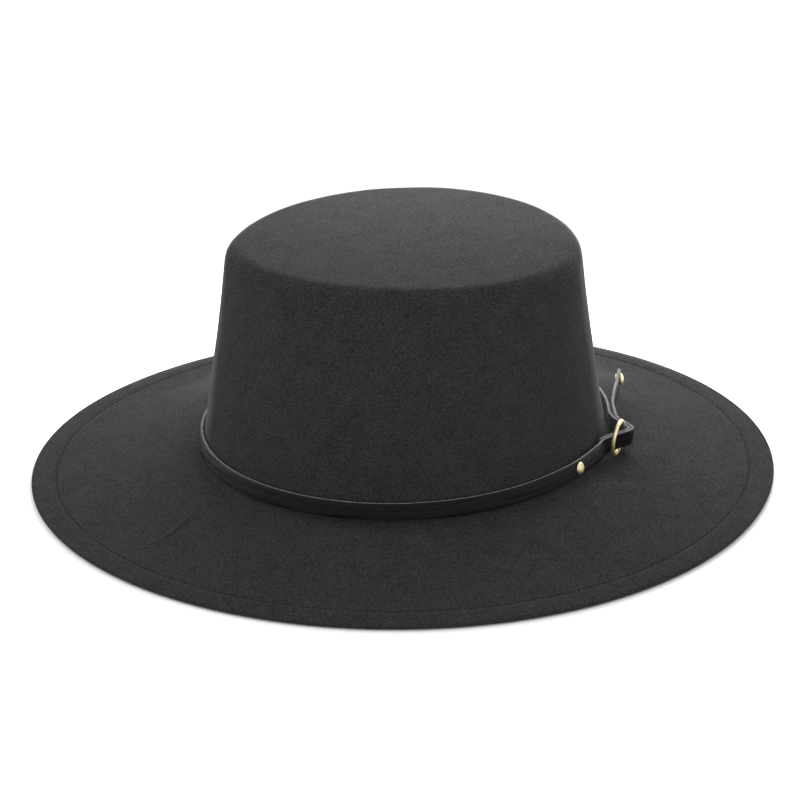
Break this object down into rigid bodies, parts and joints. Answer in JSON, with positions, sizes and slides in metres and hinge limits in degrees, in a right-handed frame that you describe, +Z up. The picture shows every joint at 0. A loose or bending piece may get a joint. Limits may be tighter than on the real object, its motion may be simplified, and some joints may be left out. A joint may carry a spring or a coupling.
{
  "type": "wide brim hat",
  "caption": "Wide brim felt hat with a tall flat-topped oval crown, a hemmed brim and a narrow leather strap that closes in a round metal ring.",
  "frame": {"origin": "on the surface that the hat stands on, under the middle of the crown and brim", "axes": "+Z up, -Y towards the front of the hat, +X towards the wearer's left, where the ring is"},
  "size_m": [0.3282, 0.3416, 0.1064],
  "materials": {
    "felt": "matte wool felt",
    "leather": "smooth, low gloss",
    "brass": "aged, satin"
  },
  "bodies": {
    "root": {"felt_body": "felt", "band_strap": "leather", "band_ring": "brass", "front_rivet": "brass", "tail_rivet": "brass"}
  },
  "joints": []
}
